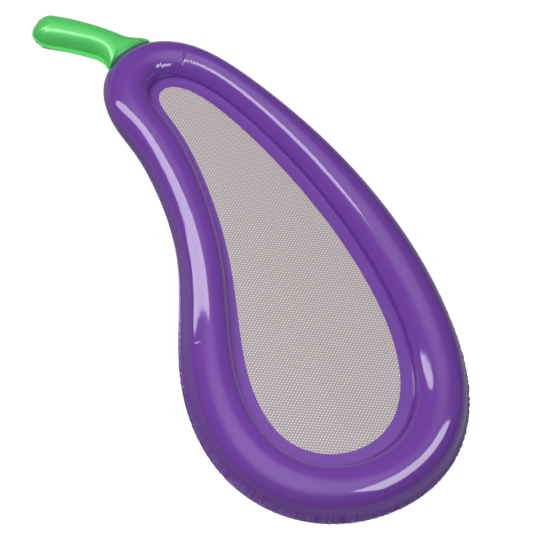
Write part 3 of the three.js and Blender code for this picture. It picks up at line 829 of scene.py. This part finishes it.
def softbox(name, place, facing, roll, width, depth, shape, radiance):
    """An area lamp at a place. It faces along a direction, and its width is level before the roll."""
    lamp = bpy.data.lights.new(name, "AREA")
    lamp.shape = shape
    lamp.size, lamp.size_y = width, depth
    lamp.energy = radiance * math.pi * width * depth * (math.pi / 4 if shape == "ELLIPSE" else 1.0)
    light = bpy.data.objects.new(name, lamp)
    back = -Vector(facing).normalized()
    level = Vector((0.0, 0.0, 1.0)).cross(back).normalized()
    turn = Matrix((level, back.cross(level), back)).transposed().to_4x4()
    light.matrix_world = Matrix.Translation(place) @ turn @ Matrix.Rotation(math.radians(roll), 4, "Z")
    bpy.context.scene.collection.objects.link(light)
    return light


class POOLFLOAT_OT_stage(bpy.types.Operator):
    """White floor and surround, studio lamps and the camera"""
    bl_idname = "poolfloat.stage"
    bl_label = "Stage"

    def execute(self, context):
        scene = context.scene
        studio, finish = scene.studio_settings, scene.finish_settings
        deselect_all()
        bpy.ops.mesh.primitive_plane_add(size=30.0, location=(0.0, 0.0, 0.0))
        floor = context.object
        floor.name = "floor"
        floor.data.materials.append(studio_white("white_paper", finish.floor))

        world = bpy.data.worlds.new("studio")
        scene.world = world
        world.use_nodes = True
        tree = world.node_tree
        sky = tree.nodes["Background"]
        sky.inputs["Color"].default_value = (1.0, 1.0, 1.0, 1.0)
        place = add_node(tree, "ShaderNodeTexCoord")
        split = add_node(tree, "ShaderNodeSeparateXYZ", {}, {"Vector": place.outputs["Generated"]})
        path = add_node(tree, "ShaderNodeLightPath")
        ceiling = add_node(
            tree, "ShaderNodeMapRange",
            {"interpolation_type": "SMOOTHSTEP", "From Min": 0.7, "From Max": 0.99, "To Max": CEILING},
            {"Value": split.outputs["Z"]})
        lit = add_node(tree, "ShaderNodeMath", {"operation": "MULTIPLY_ADD", 2: SURROUND},
                       {0: ceiling.outputs["Result"], 1: path.outputs["Is Glossy Ray"]})
        shown = add_node(tree, "ShaderNodeMath", {"operation": "MAXIMUM"},
                         {0: lit.outputs[0], 1: path.outputs["Is Camera Ray"]})
        tree.links.new(shown.outputs[0], sky.inputs["Strength"])

        for name, place, facing, roll, width, depth, shape in STRIP_LAMPS:
            softbox(name, place, facing, roll, width, depth, shape, STRIP_RADIANCE).visible_diffuse = False
        for name, place, radiance in FILL_LAMPS:
            lamp = softbox(name, place, -Vector(place), 0.0, FILL_SIDE, FILL_SIDE, "RECTANGLE", radiance)
            lamp.visible_glossy = False

        across = math.cos(studio.elevation)
        forward = Vector((math.sin(studio.azimuth) * across, math.cos(studio.azimuth) * across,
                          -math.sin(studio.elevation)))
        level = forward.cross(Vector((0.0, 0.0, 1.0))).normalized()
        upright = level.cross(forward)
        right = level * math.cos(studio.roll) + upright * math.sin(studio.roll)
        up = right.cross(forward)
        turn = Matrix((right, up, -forward)).transposed().to_4x4()
        data = bpy.data.cameras.new("camera")
        data.lens = studio.lens
        data.sensor_width = 36.0
        data.clip_end = 60.0
        camera = bpy.data.objects.new("camera", data)
        camera.matrix_world = Matrix.Translation(Vector(studio.aim) - forward * studio.distance) @ turn
        scene.collection.objects.link(camera)
        scene.camera = camera
        scene.view_settings.view_transform = "Standard"
        return {"FINISHED"}


class POOLFLOAT_PT_panel(bpy.types.Panel):
    """Lists what builds the float"""
    bl_idname = "POOLFLOAT_PT_panel"
    bl_label = "Pool Float"
    bl_space_type = "VIEW_3D"
    bl_region_type = "UI"
    bl_category = "Pool Float"

    def draw(self, context):
        for operator in OPERATORS:
            self.layout.operator(operator.bl_idname)
        for name in SETTINGS:
            box = self.layout.box()
            group = getattr(context.scene, name)
            for key in group.__annotations__:
                box.prop(group, key)


OPERATORS = (POOLFLOAT_OT_ring, POOLFLOAT_OT_bands, POOLFLOAT_OT_net, POOLFLOAT_OT_stalk, POOLFLOAT_OT_valves,
             POOLFLOAT_OT_stage)
SETTINGS = {"ring_settings": RingSettings, "net_settings": NetSettings, "stalk_settings": StalkSettings,
            "finish_settings": FinishSettings, "studio_settings": StudioSettings}


def register():
    for kind in (*SETTINGS.values(), *OPERATORS, POOLFLOAT_PT_panel):
        bpy.utils.register_class(kind)
    for name, kind in SETTINGS.items():
        setattr(bpy.types.Scene, name, bpy.props.PointerProperty(type=kind))


def unregister():
    for name in SETTINGS:
        delattr(bpy.types.Scene, name)
    for kind in reversed((*SETTINGS.values(), *OPERATORS, POOLFLOAT_PT_panel)):
        bpy.utils.unregister_class(kind)


def main():
    register()
    bpy.ops.poolfloat.ring()
    bpy.ops.poolfloat.bands()
    bpy.ops.poolfloat.net()
    bpy.ops.poolfloat.stalk()
    bpy.ops.poolfloat.valves()
    bpy.ops.poolfloat.stage()


if __name__ == "__main__":
    main()
